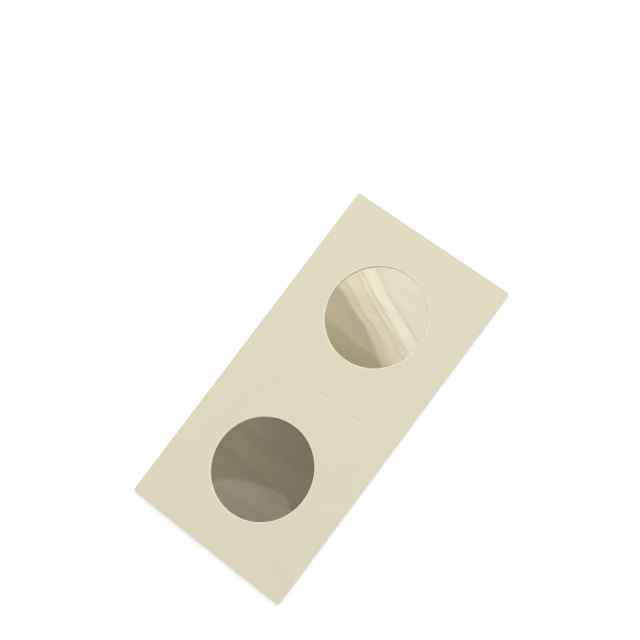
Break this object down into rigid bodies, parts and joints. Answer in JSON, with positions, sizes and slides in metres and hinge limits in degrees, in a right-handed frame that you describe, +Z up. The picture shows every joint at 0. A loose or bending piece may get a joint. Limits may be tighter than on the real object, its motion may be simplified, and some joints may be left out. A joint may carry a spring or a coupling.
{
  "type": "coin holder flip",
  "caption": "Open card coin holder flip: square leaves joined at a scored crease, with round windows closed by clear film, which fold shut round a coin.",
  "frame": {"origin": "middle of the crease on the film's underside, which is also the middle of the flip's footprint as it lies open and flat", "axes": "+X along the crease, +Y across it towards the back leaf, +Z up out of the outer card face; the film faces down"},
  "size_m": [0.05, 0.1, 0.0006],
  "materials": {
    "card": "matte",
    "film": "gloss",
    "adhesive": "satin"
  },
  "bodies": {
    "back_leaf": {"back_card": "card", "back_adhesive": "adhesive", "back_film": "film", "crease_web": "card", "crease_adhesive": "adhesive", "crease_film": "film"},
    "front_leaf": {"front_card": "card", "front_adhesive": "adhesive", "front_film": "film"}
  },
  "joints": [
    {"name": "fold", "type": "hinge", "parent": "back_leaf", "child": "front_leaf", "pos_m": [0, 0, -0.0001], "axis": [1, 0, 0], "range_deg": [0, 180], "deforming": ["crease_web", "crease_adhesive", "crease_film"]}
  ]
}
